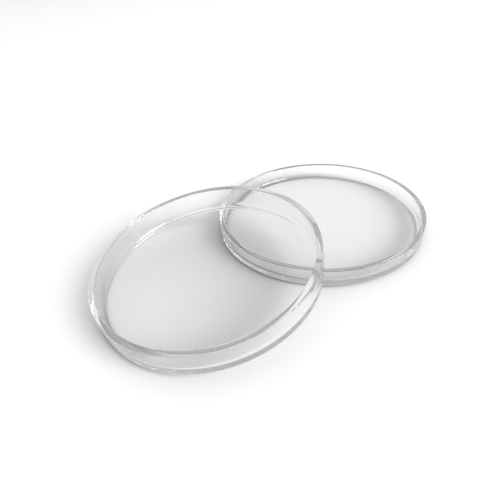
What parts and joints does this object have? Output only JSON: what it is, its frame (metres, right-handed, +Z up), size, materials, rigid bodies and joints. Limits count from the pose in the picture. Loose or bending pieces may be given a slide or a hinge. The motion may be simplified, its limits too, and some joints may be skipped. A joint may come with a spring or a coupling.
{
  "type": "petri dish",
  "caption": "Round, shallow, clear glass culture dish with a slightly wider and shallower lid; the lid lies open side up and the dish leans on its rim.",
  "frame": {"origin": "centre of the lid's flat underside, on the surface that both pieces rest on", "axes": "+Z up; +X horizontal, from the leaning dish towards the lid, in the plane of symmetry of the arrangement"},
  "size_m": [0.1669, 0.1, 0.0253],
  "materials": {
    "clear_glass": "clear, polished"
  },
  "bodies": {
    "lid": {"lid": "clear_glass"},
    "dish": {"dish": "clear_glass"}
  },
  "joints": [
    {"name": "dish_lift", "type": "slide", "parent": "lid", "child": "dish", "axis": [0, 0, 1], "range_m": [0, 0.04]}
  ]
}
